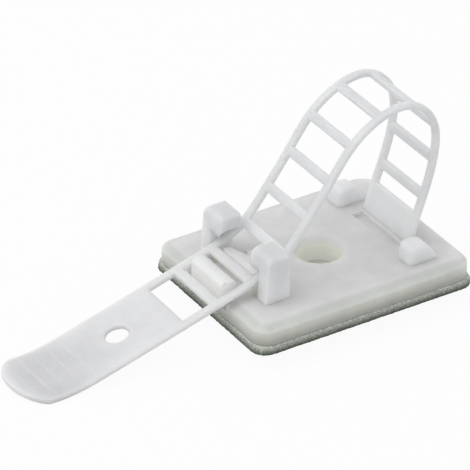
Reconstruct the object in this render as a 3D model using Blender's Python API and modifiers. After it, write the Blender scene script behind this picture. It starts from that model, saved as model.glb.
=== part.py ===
"""Adhesive cable tie mount: a base plate on a foam pad, with an adjustable ladder strap moulded
onto it in one piece, closed in a loop through two hooks and over a catch tooth.

Metres, +Z up. X runs along the strap, with the finger tab at -X and the strap's root at +X.
The origin is the centre of the foam pad's lower face, which is the face that sticks to a wall.
"""

import math

import bmesh
import bpy
from mathutils import Matrix, Vector
from mathutils.geometry import interpolate_bezier

for old in list(bpy.data.objects):
    bpy.data.objects.remove(old, do_unlink=True)

MM = 0.001

# Foam pad
pad_length = 26.0 * MM
pad_width = 20.8 * MM
pad_thickness = 0.9 * MM
pad_corner = 1.7 * MM

# The adhesive film between the foam and the plate
glue_line = 0.3 * MM

# Base plate
pad_reveal = 0.25 * MM
plate_side_height = 1.3 * MM
plate_crown = 0.45 * MM
crown_inset = 1.3 * MM
crown_root_inset = 0.35 * MM
plate_corner = 1.75 * MM

# Screw hole
screw_hole_diameter = 4.6 * MM
hole_rim_radius = 0.5 * MM
hole_offset = 0.6 * MM

# Ladder strap
strap_width = 8.6 * MM
strap_thickness = 0.64 * MM
rail_width = 0.92 * MM
rung_length = 1.08 * MM
ladder_windows = 12
ladder_start = -17.67 * MM
ladder_end_height = 4.4 * MM
root_web_height = 5.95 * MM

# Finger tab, the strap's free end
tab_end = -35.7 * MM
tab_rounding = 3.6 * MM
tab_hole_diameter = 2.5 * MM
tab_hole_place = -23.4 * MM
grip_ridges = 5
grip_pitch = 1.57 * MM
grip_first = -34.2 * MM
grip_height = 0.13 * MM
grip_width = 0.45 * MM

# Buckle hooks
hook_start = -9.85 * MM
hook_length = 3.1 * MM
hook_top = 8.05 * MM
hook_wall = 1.6 * MM
hook_reach = 1.75 * MM
lip_thickness = 1.6 * MM
hook_rounding = 0.45 * MM
hook_lean = 0.45 * MM
strap_clearance = 0.35 * MM

# Catch tooth and release lever, on the tongue between the hooks
tongue_slot = 0.55 * MM
tongue_root = -5.9 * MM
tooth_face = -9.1 * MM
tooth_length = 2.6 * MM
tooth_rise = 1.75 * MM
tooth_drop = 0.25 * MM
lever_length = 1.85 * MM
lever_top = 4.85 * MM
lever_grooves = 3

# Strap root, and the cheek that stands on either side of it
cheek_gap = 1.15 * MM
cheek_width = 2.4 * MM
cheek_top = 4.95 * MM
cheek_start = 6.4 * MM
cheek_crest = 8.6 * MM
cheek_end = 10.2 * MM
cheek_rounding = 0.8 * MM
groove_width = 1.3 * MM
groove_length = 7.7 * MM
groove_place = 7.65 * MM

# Levels that follow from the sizes above
plate_length = pad_length - 2 * pad_reveal
plate_width = pad_width - 2 * pad_reveal
plate_bottom = pad_thickness + glue_line
plate_shoulder = plate_bottom + plate_side_height
plate_top = plate_shoulder + plate_crown
half_strap = strap_width / 2
half_window = half_strap - rail_width
hook_inner = half_strap + strap_clearance
hook_outer = hook_inner + hook_wall
lip_tip = hook_inner - hook_reach
tongue_half = half_window - strap_clearance

collection = bpy.data.collections.new("adhesive_cable_tie_mount")
bpy.context.scene.collection.children.link(collection)
cutters = bpy.data.collections.new("cutters")
bpy.context.scene.collection.children.link(cutters)


def surface(name, colour, roughness, metallic=0.0):
    """A plain surface finish with a linear colour."""
    mat = bpy.data.materials.new(name)
    mat.use_nodes = True
    shader = mat.node_tree.nodes["Principled BSDF"]
    shader.inputs["Base Color"].default_value = (*colour, 1.0)
    shader.inputs["Roughness"].default_value = roughness
    shader.inputs["Metallic"].default_value = metallic
    mat.diffuse_color = (*colour, 1.0)
    return mat


nylon = surface("natural_nylon", (0.66, 0.68, 0.69), 0.38)
foam = surface("grey_green_foam", (0.20, 0.24, 0.21), 0.92)


def mesh_object(name, mesh, target, mat=None):
    """Puts a mesh in a collection as an object."""
    obj = bpy.data.objects.new(name, mesh)
    target.objects.link(obj)
    if mat is not None:
        mesh.materials.clear()
        mesh.materials.append(mat)
    return obj


def curve_mesh(curve_object):
    """The evaluated mesh of a curve object, in world space, with its caps welded on."""
    bpy.context.view_layer.update()
    graph = bpy.context.evaluated_depsgraph_get()
    mesh = bpy.data.meshes.new_from_object(curve_object.evaluated_get(graph))
    mesh.transform(curve_object.matrix_world)
    work = bmesh.new()
    work.from_mesh(mesh)
    bmesh.ops.remove_doubles(work, verts=work.verts, dist=0.000001)
    bmesh.ops.recalc_face_normals(work, faces=work.faces)
    work.to_mesh(mesh)
    work.free()
    data = curve_object.data
    bpy.data.objects.remove(curve_object, do_unlink=True)
    bpy.data.curves.remove(data)
    return mesh


def side_prism(name, points, y_from, y_to, target=cutters):
    """A closed outline in X and Z, drawn out from y_from to y_to."""
    curve = bpy.data.curves.new(name, "CURVE")
    curve.dimensions = "2D"
    curve.fill_mode = "BOTH"
    curve.extrude = abs(y_to - y_from) / 2
    spline = curve.splines.new("POLY")
    spline.points.add(len(points) - 1)
    for point, (x, z) in zip(spline.points, points):
        point.co = (x, z, 0.0, 1.0)
    spline.use_cyclic_u = True
    obj = bpy.data.objects.new(name, curve)
    obj.rotation_euler = (math.radians(90), 0.0, 0.0)
    obj.location = (0.0, (y_from + y_to) / 2, 0.0)
    target.objects.link(obj)
    return mesh_object(name, curve_mesh(obj), target)


def end_prism(name, points, x_from, x_to, target=cutters):
    """A closed outline in Y and Z, drawn out from x_from to x_to."""
    curve = bpy.data.curves.new(name, "CURVE")
    curve.dimensions = "2D"
    curve.fill_mode = "BOTH"
    curve.extrude = abs(x_to - x_from) / 2
    spline = curve.splines.new("POLY")
    spline.points.add(len(points) - 1)
    for point, (y, z) in zip(spline.points, points):
        point.co = (y, z, 0.0, 1.0)
    spline.use_cyclic_u = True
    obj = bpy.data.objects.new(name, curve)
    obj.rotation_euler = (math.radians(90), 0.0, math.radians(90))
    obj.location = ((x_from + x_to) / 2, 0.0, 0.0)
    target.objects.link(obj)
    return mesh_object(name, curve_mesh(obj), target)


def plan_prism(name, points, z_from, z_to, target=cutters):
    """A closed outline in X and Y, drawn up from z_from to z_to."""
    curve = bpy.data.curves.new(name, "CURVE")
    curve.dimensions = "2D"
    curve.fill_mode = "BOTH"
    curve.extrude = abs(z_to - z_from) / 2
    spline = curve.splines.new("POLY")
    spline.points.add(len(points) - 1)
    for point, (x, y) in zip(spline.points, points):
        point.co = (x, y, 0.0, 1.0)
    spline.use_cyclic_u = True
    obj = bpy.data.objects.new(name, curve)
    obj.location = (0.0, 0.0, (z_from + z_to) / 2)
    target.objects.link(obj)
    return mesh_object(name, curve_mesh(obj), target)


def block(name, low, high, target=cutters):
    """A box between two corners."""
    mesh = bpy.data.meshes.new(name)
    work = bmesh.new()
    bmesh.ops.create_cube(work, size=1.0)
    size = Vector(high) - Vector(low)
    centre = (Vector(high) + Vector(low)) / 2
    bmesh.ops.scale(work, vec=size, verts=work.verts)
    bmesh.ops.translate(work, vec=centre, verts=work.verts)
    work.to_mesh(mesh)
    work.free()
    return mesh_object(name, mesh, target)


def rounded_rectangle(length, width, radius, steps=5):
    """Corner-rounded outline, counter-clockwise, centred on the origin."""
    points = []
    for corner in range(4):
        turn = math.radians(90 * corner)
        sign_x = (1, -1, -1, 1)[corner]
        sign_y = (1, 1, -1, -1)[corner]
        centre_x = sign_x * (length / 2 - radius)
        centre_y = sign_y * (width / 2 - radius)
        for step in range(steps + 1):
            angle = turn + math.radians(90) * step / steps
            points.append((centre_x + radius * math.cos(angle), centre_y + radius * math.sin(angle)))
    return points


def rounded_profile(points, radius, steps=3):
    """The outline with the corners that carry a True flag rounded off by an arc."""
    result = []
    count = len(points)
    for index, (x, z, soft) in enumerate(points):
        here = Vector((x, z))
        if not soft:
            result.append((x, z))
            continue
        before = Vector(points[index - 1][:2]) - here
        after = Vector(points[(index + 1) % count][:2]) - here
        half = before.angle(after) / 2
        reach = min(radius / math.tan(half), before.length * 0.45, after.length * 0.45)
        start = here + before.normalized() * reach
        finish = here + after.normalized() * reach
        for step in range(steps + 1):
            t = step / steps
            spot = start * (1 - t) ** 2 + here * 2 * t * (1 - t) + finish * t ** 2
            result.append((spot.x, spot.y))
    return result


def boolean(target, operand, operation):
    """Adds a Boolean with the exact solver and marks the operand as a guide."""
    modifier = target.modifiers.new(operand.name, "BOOLEAN")
    modifier.operation = operation
    modifier.solver = "EXACT"
    modifier.object = operand
    operand.hide_render = True
    operand.display_type = "WIRE"


# The strap's path: its outer face seen from the side, from the finger tab's end up the hooks,
# over the loop and down into the base plate.
path_points = [
    (-36.3, -0.50), (-33.5, -0.95), (-30.2, -0.80), (-26.8, -0.02), (-22.8, 1.06), (-18.6, 2.20),
    (-14.8, 3.28), (-11.6, 4.18), (-8.7, 5.18), (-6.15, 6.66), (-4.25, 8.85), (-1.25, 12.80),
    (1.75, 16.78), (4.7, 18.90), (8.5, 19.60), (11.1, 18.15), (12.3, 15.4), (12.15, 12.2),
    (11.2, 8.6), (10.2, 5.8), (9.4, 3.2), (8.95, 1.6),
]
path_steps = 5


def sample_path():
    """Bezier path with smooth handles, as the curve object itself draws it."""
    curve = bpy.data.curves.new("strap_path", "CURVE")
    curve.dimensions = "2D"
    curve.resolution_u = path_steps
    spline = curve.splines.new("BEZIER")
    spline.bezier_points.add(len(path_points) - 1)
    for knot, (x, z) in zip(spline.bezier_points, path_points):
        knot.co = (x * MM, z * MM, 0.0)
        knot.handle_left_type = "AUTO"
        knot.handle_right_type = "AUTO"
    obj = bpy.data.objects.new("strap_path", curve)
    obj.rotation_euler = (math.radians(90), 0.0, 0.0)
    cutters.objects.link(obj)
    bpy.context.view_layer.update()
    spots = []
    knots = spline.bezier_points
    for index in range(len(knots) - 1):
        a = knots[index]
        b = knots[index + 1]
        run = interpolate_bezier(a.co, a.handle_right, b.handle_left, b.co, 13)
        spots.extend(Vector((p.x, p.y)) for p in run[:-1])
    spots.append(Vector(knots[-1].co[:2]))
    return obj, spots


path_object, path_spots = sample_path()
path_lengths = [0.0]
for first, second in zip(path_spots, path_spots[1:]):
    path_lengths.append(path_lengths[-1] + (second - first).length)


def path_at(distance):
    """Point and unit tangent on the path at a distance from the finger tab's end."""
    for index in range(len(path_spots) - 1):
        if path_lengths[index + 1] >= distance:
            span = path_lengths[index + 1] - path_lengths[index]
            t = (distance - path_lengths[index]) / span
            step = path_spots[index + 1] - path_spots[index]
            return path_spots[index] + step * t, step.normalized()
    step = path_spots[-1] - path_spots[-2]
    return path_spots[-1], step.normalized()


def distance_where(test):
    """Distance along the path of the first sampled point that meets the test."""
    for spot, distance in zip(path_spots, path_lengths):
        if test(spot):
            return distance
    return path_lengths[-1]


ladder_from = distance_where(lambda spot: spot.x >= ladder_start)
top_index = max(range(len(path_spots)), key=lambda index: path_spots[index].y)
ladder_to = min(
    distance
    for spot, distance in zip(path_spots, path_lengths)
    if distance > path_lengths[top_index] and spot.y <= ladder_end_height
)
window_length = (ladder_to - ladder_from - (ladder_windows - 1) * rung_length) / ladder_windows
ladder_pitch = window_length + rung_length


def strap_body():
    """The strap: a ribbon along the path, thickened inwards, with its tab end rounded in plan."""
    path_object.data.extrude = strap_width / 2
    ribbon = curve_mesh(path_object)
    body = mesh_object("ladder_strap_body", ribbon, cutters)
    thick = body.modifiers.new("thickness", "SOLIDIFY")
    thick.thickness = strap_thickness
    thick.offset = 1.0
    thick.use_even_offset = True
    side = half_strap + 0.35 * MM
    points = [(20 * MM, -side), (20 * MM, side)]
    turn_start = tab_end + tab_rounding
    steps = 14
    for step in range(steps + 1):
        angle = math.radians(90 + 180 * step / steps)
        points.append((turn_start + tab_rounding * math.cos(angle), side * math.sin(angle)))
    plan = plan_prism("tab_plan", points, -6 * MM, 26 * MM)
    boolean(body, plan, "INTERSECT")
    return body


def frozen(obj, name=None):
    """Applies the modifiers by taking the evaluated mesh, and drops the guides it used."""
    bpy.context.view_layer.update()
    graph = bpy.context.evaluated_depsgraph_get()
    mesh = bpy.data.meshes.new_from_object(obj.evaluated_get(graph))
    mesh.transform(obj.matrix_world)
    guides = [m.object for m in obj.modifiers if m.type == "BOOLEAN" and m.object]
    place = obj.users_collection[0]
    label = name or obj.name
    bpy.data.objects.remove(obj, do_unlink=True)
    for guide in guides:
        bpy.data.objects.remove(guide, do_unlink=True)
    work = bmesh.new()
    work.from_mesh(mesh)
    bmesh.ops.remove_doubles(work, verts=work.verts, dist=0.0000005)
    bmesh.ops.recalc_face_normals(work, faces=work.faces)
    work.to_mesh(mesh)
    work.free()
    return mesh_object(label, mesh, place)


def ladder_cutter(index):
    """A window's cutter: a box set square on the strap, between two rungs."""
    centre, tangent = path_at(ladder_from + index * ladder_pitch + window_length / 2)
    mesh = bpy.data.meshes.new("window_%02d" % index)
    work = bmesh.new()
    bmesh.ops.create_cube(work, size=1.0)
    size = Vector((window_length, 2 * half_window, 5 * strap_thickness))
    bmesh.ops.scale(work, vec=size, verts=work.verts)
    angle = -math.atan2(tangent.y, tangent.x)
    bmesh.ops.rotate(work, matrix=Matrix.Rotation(angle, 3, "Y"), verts=work.verts)
    bmesh.ops.translate(work, vec=(centre.x, 0.0, centre.y), verts=work.verts)
    work.to_mesh(mesh)
    work.free()
    return mesh_object("window_%02d" % index, mesh, cutters)


def cylinder(name, radius, centre, height, segments=32, axis="Z"):
    """A closed cylinder about a centre point."""
    mesh = bpy.data.meshes.new(name)
    work = bmesh.new()
    bmesh.ops.create_cone(work, cap_ends=True, segments=segments, radius1=radius, radius2=radius,
                          depth=height)
    if axis == "Y":
        bmesh.ops.rotate(work, matrix=Matrix.Rotation(math.radians(90), 3, "X"), verts=work.verts)
    bmesh.ops.translate(work, vec=centre, verts=work.verts)
    work.to_mesh(mesh)
    work.free()
    return mesh_object(name, mesh, cutters)


def ladder_strap():
    """The strap with its windows, the tab's hole and its grip ridges."""
    strap = frozen(strap_body(), "ladder_strap")
    for index in range(ladder_windows):
        boolean(strap, ladder_cutter(index), "DIFFERENCE")
    hole_height = 10 * MM
    hole = cylinder("tab_hole", tab_hole_diameter / 2, (tab_hole_place, 0.0, 0.0), hole_height, 28)
    boolean(strap, hole, "DIFFERENCE")
    return frozen(strap)


def path_height(x):
    """Height of the strap's outer face over a place on the finger tab."""
    for first, second in zip(path_spots, path_spots[1:]):
        if first.x <= x <= second.x:
            return first.y + (second.y - first.y) * (x - first.x) / (second.x - first.x)
    return path_spots[0].y


def grip_ridge(index):
    """One low rounded ridge across the tab, sunk into its face."""
    x = grip_first + index * grip_pitch
    sag = grip_width ** 2 / (8 * grip_height)
    radius = sag + grip_height / 2
    inset = (x - tab_end) if x - tab_end < tab_rounding else tab_rounding
    share = 1 - (1 - inset / tab_rounding) ** 2
    reach = (half_strap + 0.35 * MM) * math.sqrt(max(share, 0.05)) - 0.75 * MM
    reach = min(reach, half_strap - 0.7 * MM)
    centre = (x, 0.0, path_height(x) + grip_height - radius)
    return cylinder("ridge_%d" % index, radius, centre, 2 * reach, 16, "Y")


def base_plate():
    """The plate: a rounded slab with a wide shallow crown that runs nearly to the root's end."""
    mesh = bpy.data.meshes.new("base_plate")
    work = bmesh.new()
    rim = rounded_rectangle(plate_length, plate_width, plate_corner)
    low = [work.verts.new((x, y, plate_bottom)) for x, y in rim]
    floor = work.faces.new(low)
    drawn = bmesh.ops.extrude_face_region(work, geom=[floor])
    top = [item for item in drawn["geom"] if isinstance(item, bmesh.types.BMVert)]
    bmesh.ops.translate(work, vec=(0.0, 0.0, plate_side_height), verts=top)
    lid = [item for item in drawn["geom"] if isinstance(item, bmesh.types.BMFace)][0]
    raised = bmesh.ops.extrude_face_region(work, geom=[lid])
    crown = [item for item in raised["geom"] if isinstance(item, bmesh.types.BMVert)]
    bmesh.ops.delete(work, geom=[lid], context="FACES_ONLY")
    shrink = Vector((1 - (crown_inset + crown_root_inset) / plate_length,
                     1 - 2 * crown_inset / plate_width, 1.0))
    bmesh.ops.scale(work, vec=shrink, verts=crown)
    shift = (crown_inset - crown_root_inset) / 2
    bmesh.ops.translate(work, vec=(shift, 0.0, plate_crown), verts=crown)
    bmesh.ops.recalc_face_normals(work, faces=work.faces)
    work.to_mesh(mesh)
    work.free()
    return mesh_object("base_plate", mesh, cutters)


def turned(name, profile, centre, segments=36):
    """A profile of radius and height, from the top down, turned about a vertical axis."""
    mesh = bpy.data.meshes.new(name)
    mesh.from_pydata([(r, 0.0, z) for r, z in profile], [(i, i + 1) for i in range(len(profile) - 1)],
                     [])
    obj = mesh_object(name, mesh, cutters)
    screw = obj.modifiers.new("turn", "SCREW")
    screw.steps = segments
    screw.render_steps = segments
    screw.use_merge_vertices = True
    screw.merge_threshold = 0.000001
    screw.use_normal_calculate = True
    done = frozen(obj, name)
    done.location = centre
    return done


def screw_hole_cutter():
    """The screw hole with its mouth rounded over."""
    radius = screw_hole_diameter / 2
    mouth = radius + hole_rim_radius
    above = plate_top + 2 * MM
    below = plate_bottom - 0.15 * MM
    profile = [(0.0, above), (mouth, above), (mouth, plate_top + 0.02 * MM)]
    steps = 4
    for step in range(1, steps + 1):
        angle = math.radians(90) * step / steps
        profile.append((mouth - hole_rim_radius * math.sin(angle),
                        plate_top - hole_rim_radius * (1 - math.cos(angle))))
    profile.append((radius, below))
    profile.append((0.0, below))
    return turned("screw_hole", profile, (hole_offset, 0.0, 0.0))


def hook(side):
    """One hook: a post with a lip that reaches in over the strap's edge."""
    lip_bottom = hook_top - lip_thickness
    sink = plate_shoulder - 0.4 * MM
    outline = rounded_profile([
        (side * hook_outer, sink, False),
        (side * hook_outer, hook_top, True),
        (side * lip_tip, hook_top, True),
        (side * lip_tip, lip_bottom, False),
        (side * hook_inner, lip_bottom - 0.1 * MM, False),
        (side * hook_inner, sink, False),
    ], hook_rounding)
    body = end_prism("hook_front" if side < 0 else "hook_back", outline,
                     hook_start - 1 * MM, hook_start + hook_length + 1 * MM)
    finish = hook_start + hook_length
    flank = rounded_profile([
        (hook_start - 0.2 * MM, sink - 1 * MM, False),
        (hook_start + hook_lean, hook_top, True),
        (finish - 0.15 * MM, hook_top, True),
        (finish + 0.15 * MM, sink - 1 * MM, False),
    ], 2.0 * hook_rounding)
    flank = [(x, z + 0.012 * MM) for x, z in flank]
    guide = side_prism("hook_flank", flank, side * (lip_tip - 1 * MM), side * (hook_outer + 1 * MM))
    boolean(body, guide, "INTERSECT")
    return frozen(body)


def tongue_cutters():
    """Slots that free the tongue, and the openings in the plate below the hooks' lips."""
    low = plate_bottom - 0.5 * MM
    high = plate_top + 0.5 * MM
    left = -plate_length / 2 - 1 * MM
    result = []
    for side in (-1, 1):
        inner = side * tongue_half
        outer = side * (tongue_half + tongue_slot)
        result.append(block("slot", (left, min(inner, outer), low),
                            (tongue_root, max(inner, outer), high)))
        wide = side * (hook_inner - 0.05 * MM)
        mid = side * (tongue_half + tongue_slot / 2)
        result.append(block("core_opening", (hook_start + 0.1 * MM, min(mid, wide), low),
                            (hook_start + hook_length - 0.1 * MM, max(mid, wide), high)))
    return result


def catch_tooth():
    """The catch: an upright face against a rung, and a ramp down to the plate behind it."""
    crest = plate_top + tooth_rise
    sink = plate_top - 0.6 * MM
    outline = [
        (tooth_face, sink),
        (tooth_face, crest - 0.12 * MM),
        (tooth_face + 0.12 * MM, crest),
        (tooth_face + 0.7 * MM, crest - 0.05 * MM),
        (tooth_face + tooth_length, plate_top + tooth_drop),
        (tooth_face + tooth_length + 0.25 * MM, sink),
    ]
    width = tongue_half - 0.15 * MM
    return side_prism("catch_tooth", outline, -width, width)


def release_lever():
    """The lever at the tongue's end, grooved on its outer face for a fingertip."""
    left = -plate_length / 2 + 0.12 * MM
    sink = plate_shoulder - 0.5 * MM
    foot = plate_top + 0.1 * MM
    outline = [(left, sink), (left, foot)]
    step = (lever_top - foot - 0.25 * MM) / lever_grooves
    for index in range(lever_grooves):
        z = foot + index * step
        outline.append((left + 0.1 * MM, z + 0.15 * step))
        outline.append((left + 0.1 * MM, z + 0.5 * step))
        outline.append((left, z + 0.65 * step))
        outline.append((left, z + 0.95 * step))
    outline.append((left + 0.25 * MM, lever_top))
    outline.append((left + lever_length - 0.4 * MM, lever_top - 0.15 * MM))
    outline.append((left + lever_length, lever_top - 0.5 * MM))
    outline.append((left + lever_length + 0.15 * MM, sink))
    width = tongue_half - 0.1 * MM
    return side_prism("release_lever", outline, -width, width)


def cheek(side):
    """A low cheek on the plate beside the strap's root, sloping down towards the plate's end."""
    sink = plate_shoulder - 0.4 * MM
    slope = (cheek_top - plate_top) / (cheek_end - cheek_crest)
    outline = rounded_profile([
        (cheek_start - 0.1 * MM, sink, False),
        (cheek_start + 0.2 * MM, cheek_top, True),
        (cheek_crest, cheek_top, True),
        (cheek_end + (plate_top - sink) / slope, sink, False),
    ], cheek_rounding)
    inner = side * (half_strap + cheek_gap)
    outer = side * (half_strap + cheek_gap + cheek_width)
    return side_prism("cheek", outline, inner, outer)


def root_web():
    """The solid foot that fills the strap between its rails, just above the plate."""
    sink = plate_shoulder - 0.4 * MM
    rise = [spot for spot, d in zip(path_spots, path_lengths)
            if d > path_lengths[top_index] and spot.y <= root_web_height]
    outer = [(spot.x - 0.01 * MM, spot.y) for spot in rise if spot.y > sink]
    outer.append((outer[-1][0], sink))
    inner = [(x - strap_thickness * 1.04 + 0.03 * MM, z) for x, z in outer]
    outline = outer + inner[::-1]
    half = half_strap - 0.2 * MM
    return side_prism("root_web", outline, -half, half)


def moulding():
    """The whole nylon moulding as one solid."""
    plate = base_plate()
    for cutter in tongue_cutters():
        boolean(plate, cutter, "DIFFERENCE")
    groove = block("root_groove",
                   (groove_place - groove_width / 2, -groove_length / 2, plate_bottom - 0.5 * MM),
                   (groove_place + groove_width / 2, groove_length / 2, plate_top + 0.5 * MM))
    boolean(plate, groove, "DIFFERENCE")
    boolean(plate, screw_hole_cutter(), "DIFFERENCE")
    body = frozen(plate, "mount_moulding")
    for item in (hook(-1), hook(1), catch_tooth(), release_lever(), cheek(-1), cheek(1)):
        boolean(body, item, "UNION")
    body = frozen(body)
    boolean(body, ladder_strap(), "UNION")
    boolean(body, root_web(), "UNION")
    for index in range(grip_ridges):
        boolean(body, grip_ridge(index), "UNION")
    body = frozen(body)
    cutters.objects.unlink(body)
    collection.objects.link(body)
    body.data.materials.clear()
    body.data.materials.append(nylon)
    body.data.set_sharp_from_angle(angle=math.radians(32))
    return body


def foam_pad():
    """The foam pad: a rounded slab, a little larger than the plate. A screw is driven through it."""
    outline = rounded_rectangle(pad_length, pad_width, pad_corner)
    pad = plan_prism("foam_pad", outline, 0.0, pad_thickness)
    cutters.objects.unlink(pad)
    collection.objects.link(pad)
    pad.data.materials.clear()
    pad.data.materials.append(foam)
    pad.data.set_sharp_from_angle(angle=math.radians(32))
    return pad


mount = moulding()
pad = foam_pad()
for item in (mount, pad):
    print(item.name, len(item.data.vertices), "vertices", len(item.data.polygons), "faces")
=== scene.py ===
# %% [markdown]
# # Adhesive cable tie mount
# A small moulding of natural nylon on a foam pad. The strap is a ladder: it runs up through two
# hooks, over a loop that holds the cables, and back down into the plate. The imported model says
# where each part is, and this notebook lays finer surfaces and the real materials over it, one
# step at a time.

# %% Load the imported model
import math

import bmesh
import bpy
import numpy as np
from mathutils import Matrix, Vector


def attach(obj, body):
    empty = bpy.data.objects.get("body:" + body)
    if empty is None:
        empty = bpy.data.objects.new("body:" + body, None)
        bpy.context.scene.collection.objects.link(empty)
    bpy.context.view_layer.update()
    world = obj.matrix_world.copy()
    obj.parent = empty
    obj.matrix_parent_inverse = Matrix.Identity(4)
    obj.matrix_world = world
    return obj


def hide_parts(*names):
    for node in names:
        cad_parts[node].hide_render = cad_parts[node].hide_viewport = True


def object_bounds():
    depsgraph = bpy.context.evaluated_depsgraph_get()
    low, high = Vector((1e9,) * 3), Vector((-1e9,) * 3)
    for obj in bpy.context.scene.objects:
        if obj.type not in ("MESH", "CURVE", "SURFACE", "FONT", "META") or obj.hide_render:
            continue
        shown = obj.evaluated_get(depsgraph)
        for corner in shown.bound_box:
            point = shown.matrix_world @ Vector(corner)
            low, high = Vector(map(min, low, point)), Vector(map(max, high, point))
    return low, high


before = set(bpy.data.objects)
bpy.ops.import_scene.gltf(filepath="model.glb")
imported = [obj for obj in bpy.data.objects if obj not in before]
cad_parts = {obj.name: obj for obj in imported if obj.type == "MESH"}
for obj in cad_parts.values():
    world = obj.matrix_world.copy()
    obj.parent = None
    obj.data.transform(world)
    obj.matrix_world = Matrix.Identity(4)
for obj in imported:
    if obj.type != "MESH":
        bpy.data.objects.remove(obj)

MM = 0.001
cad_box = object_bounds()
print("packed box in mm", [[round(v / MM, 2) for v in corner] for corner in cad_box])

# %% [markdown]
# ## The camera
# The edges of the pad close in a little towards the back, so the picture was taken with a long
# lens from about half a metre. The camera looks down over the strap's free end, a third of a right
# angle round from the side and as much above it.

# %% Camera
scene = bpy.context.scene
VIEW_AZIMUTH = math.radians(31.66)
VIEW_ELEVATION = math.radians(32.08)
VIEW_ROLL = math.radians(-0.18)
VIEW_DISTANCE = 500.0
PIXELS_PER_MM = 9.797
PICTURE_SIZE = 470
AXIS_TO_ORIGIN = (8.043, -4.032)


def looking_axes(azimuth, elevation, roll):
    """Unit vectors forwards, right and up: the right one is level, then both turn by the roll."""
    level = math.cos(elevation)
    ahead = np.array([math.sin(azimuth) * level, math.cos(azimuth) * level, -math.sin(elevation)])
    side = np.array([math.cos(azimuth), -math.sin(azimuth), 0.0])
    over = np.cross(side, ahead)
    turned_side = side * math.cos(roll) + over * math.sin(roll)
    turned_over = over * math.cos(roll) - side * math.sin(roll)
    return ahead, turned_side, turned_over


forward, right, up = looking_axes(VIEW_AZIMUTH, VIEW_ELEVATION, VIEW_ROLL)
place = -(AXIS_TO_ORIGIN[0] * right + AXIS_TO_ORIGIN[1] * up + VIEW_DISTANCE * forward) * MM
camera_data = bpy.data.cameras.new("camera")
camera_data.sensor_width = 36.0
camera_data.lens = PIXELS_PER_MM * VIEW_DISTANCE * camera_data.sensor_width / PICTURE_SIZE
camera_data.clip_start = 0.01
camera_data.clip_end = 10.0
camera = bpy.data.objects.new("camera", camera_data)
scene.collection.objects.link(camera)
camera.matrix_world = Matrix((
    (right[0], up[0], -forward[0], place[0]),
    (right[1], up[1], -forward[1], place[1]),
    (right[2], up[2], -forward[2], place[2]),
    (0.0, 0.0, 0.0, 1.0),
))
scene.camera = camera
print("lens in mm", round(camera_data.lens, 1), "camera at", [round(v, 4) for v in place])

# %% [markdown]
# ## Helpers for meshes
# Every new surface is a set of points worked out by numpy, with the faces as rows of point
# numbers. One function puts both into Blender. Points are in millimetres until that moment.

# %% From arrays to a Blender mesh
def mesh_from(name, points, faces):
    """A mesh object from an array of points in millimetres and rows of point numbers."""
    mesh = bpy.data.meshes.new(name)
    metres = (np.asarray(points, float) * MM).tolist()
    mesh.from_pydata(metres, [], [list(map(int, face)) for face in faces])
    mesh.validate()
    obj = bpy.data.objects.new(name, mesh)
    scene.collection.objects.link(obj)
    return obj


def between_loops(first, second):
    """Quads between two closed loops of point numbers of the same length."""
    return np.stack([first, np.roll(first, -1), np.roll(second, -1), second], axis=1)


def rounded_outline(corners, steps=5):
    """A closed outline from rows of (x, y, radius). Each corner gives way to a curve of second
    degree that leaves and meets its sides smoothly. It starts and ends as far from the corner as a
    circle of that radius would: the radius over the tangent of half the corner's angle."""
    result = []
    spots = [np.array(c[:2], float) for c in corners]
    for index, (x, y, radius) in enumerate(corners):
        here = spots[index]
        if radius <= 0.0:
            result.append(here)
            continue
        before = spots[index - 1] - here
        after = spots[(index + 1) % len(corners)] - here
        length_a, length_b = np.linalg.norm(before), np.linalg.norm(after)
        cosine = np.clip(before @ after / (length_a * length_b), -1, 1)
        reach = min(radius / math.tan(math.acos(cosine) / 2), 0.48 * length_a, 0.48 * length_b)
        start = here + before / length_a * reach
        finish = here + after / length_b * reach
        for t in np.linspace(0.0, 1.0, steps + 1):
            result.append(start * (1 - t) ** 2 + here * 2 * t * (1 - t) + finish * t ** 2)
    return np.array(result)


def inset_outline(outline, distance):
    """The outline with each point moved inwards, along the mean of its two sides' normals."""
    ahead = np.roll(outline, -1, axis=0) - outline
    ahead /= np.maximum(np.linalg.norm(ahead, axis=1, keepdims=True), 1e-9)
    behind = np.roll(ahead, 1, axis=0)
    normal = np.stack([-(ahead[:, 1] + behind[:, 1]), ahead[:, 0] + behind[:, 0]], axis=1)
    normal /= np.maximum(np.linalg.norm(normal, axis=1, keepdims=True), 1e-9)
    turn = np.maximum(np.sum(normal * np.stack([-ahead[:, 1], ahead[:, 0]], axis=1), axis=1), 0.5)
    return outline + normal * (distance / turn)[:, None]


def soft_extrusion(name, outline, start, finish, radius, axis, bend=None, stations=10):
    """An outline, counter-clockwise, carried from start to finish. At both ends it draws in along a
    quarter circle, so the end faces meet the sides in a round edge. bend moves the points after."""
    angles = np.radians([0, 22.5, 45, 67.5, 90])
    inset = radius * (1 - np.sin(angles))
    run = radius * (1 - np.cos(angles))
    middle = np.linspace(start + radius, finish - radius, stations)[1:-1]
    along = np.concatenate([start + run, middle, (finish - run)[::-1]])
    insets = np.concatenate([inset, np.zeros(len(middle)), inset[::-1]])
    count = len(outline)
    loops = []
    for place_along, draw_in in zip(along, insets):
        ring = inset_outline(outline, draw_in)
        level = np.full(count, place_along)
        if axis == "X":
            loops.append(np.stack([level, ring[:, 0], ring[:, 1]], axis=1))
        else:
            loops.append(np.stack([ring[:, 0], level, ring[:, 1]], axis=1))
    points = np.concatenate(loops)
    numbers = np.arange(len(points)).reshape(len(along), count)
    faces = [f for a, b in zip(numbers, numbers[1:]) for f in between_loops(a, b)]
    faces.append(numbers[0][::-1])
    faces.append(numbers[-1])
    if axis == "Y":
        faces = [f[::-1] for f in faces]
    if bend is not None:
        points = bend(points)
    return mesh_from(name, points, faces)


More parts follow.
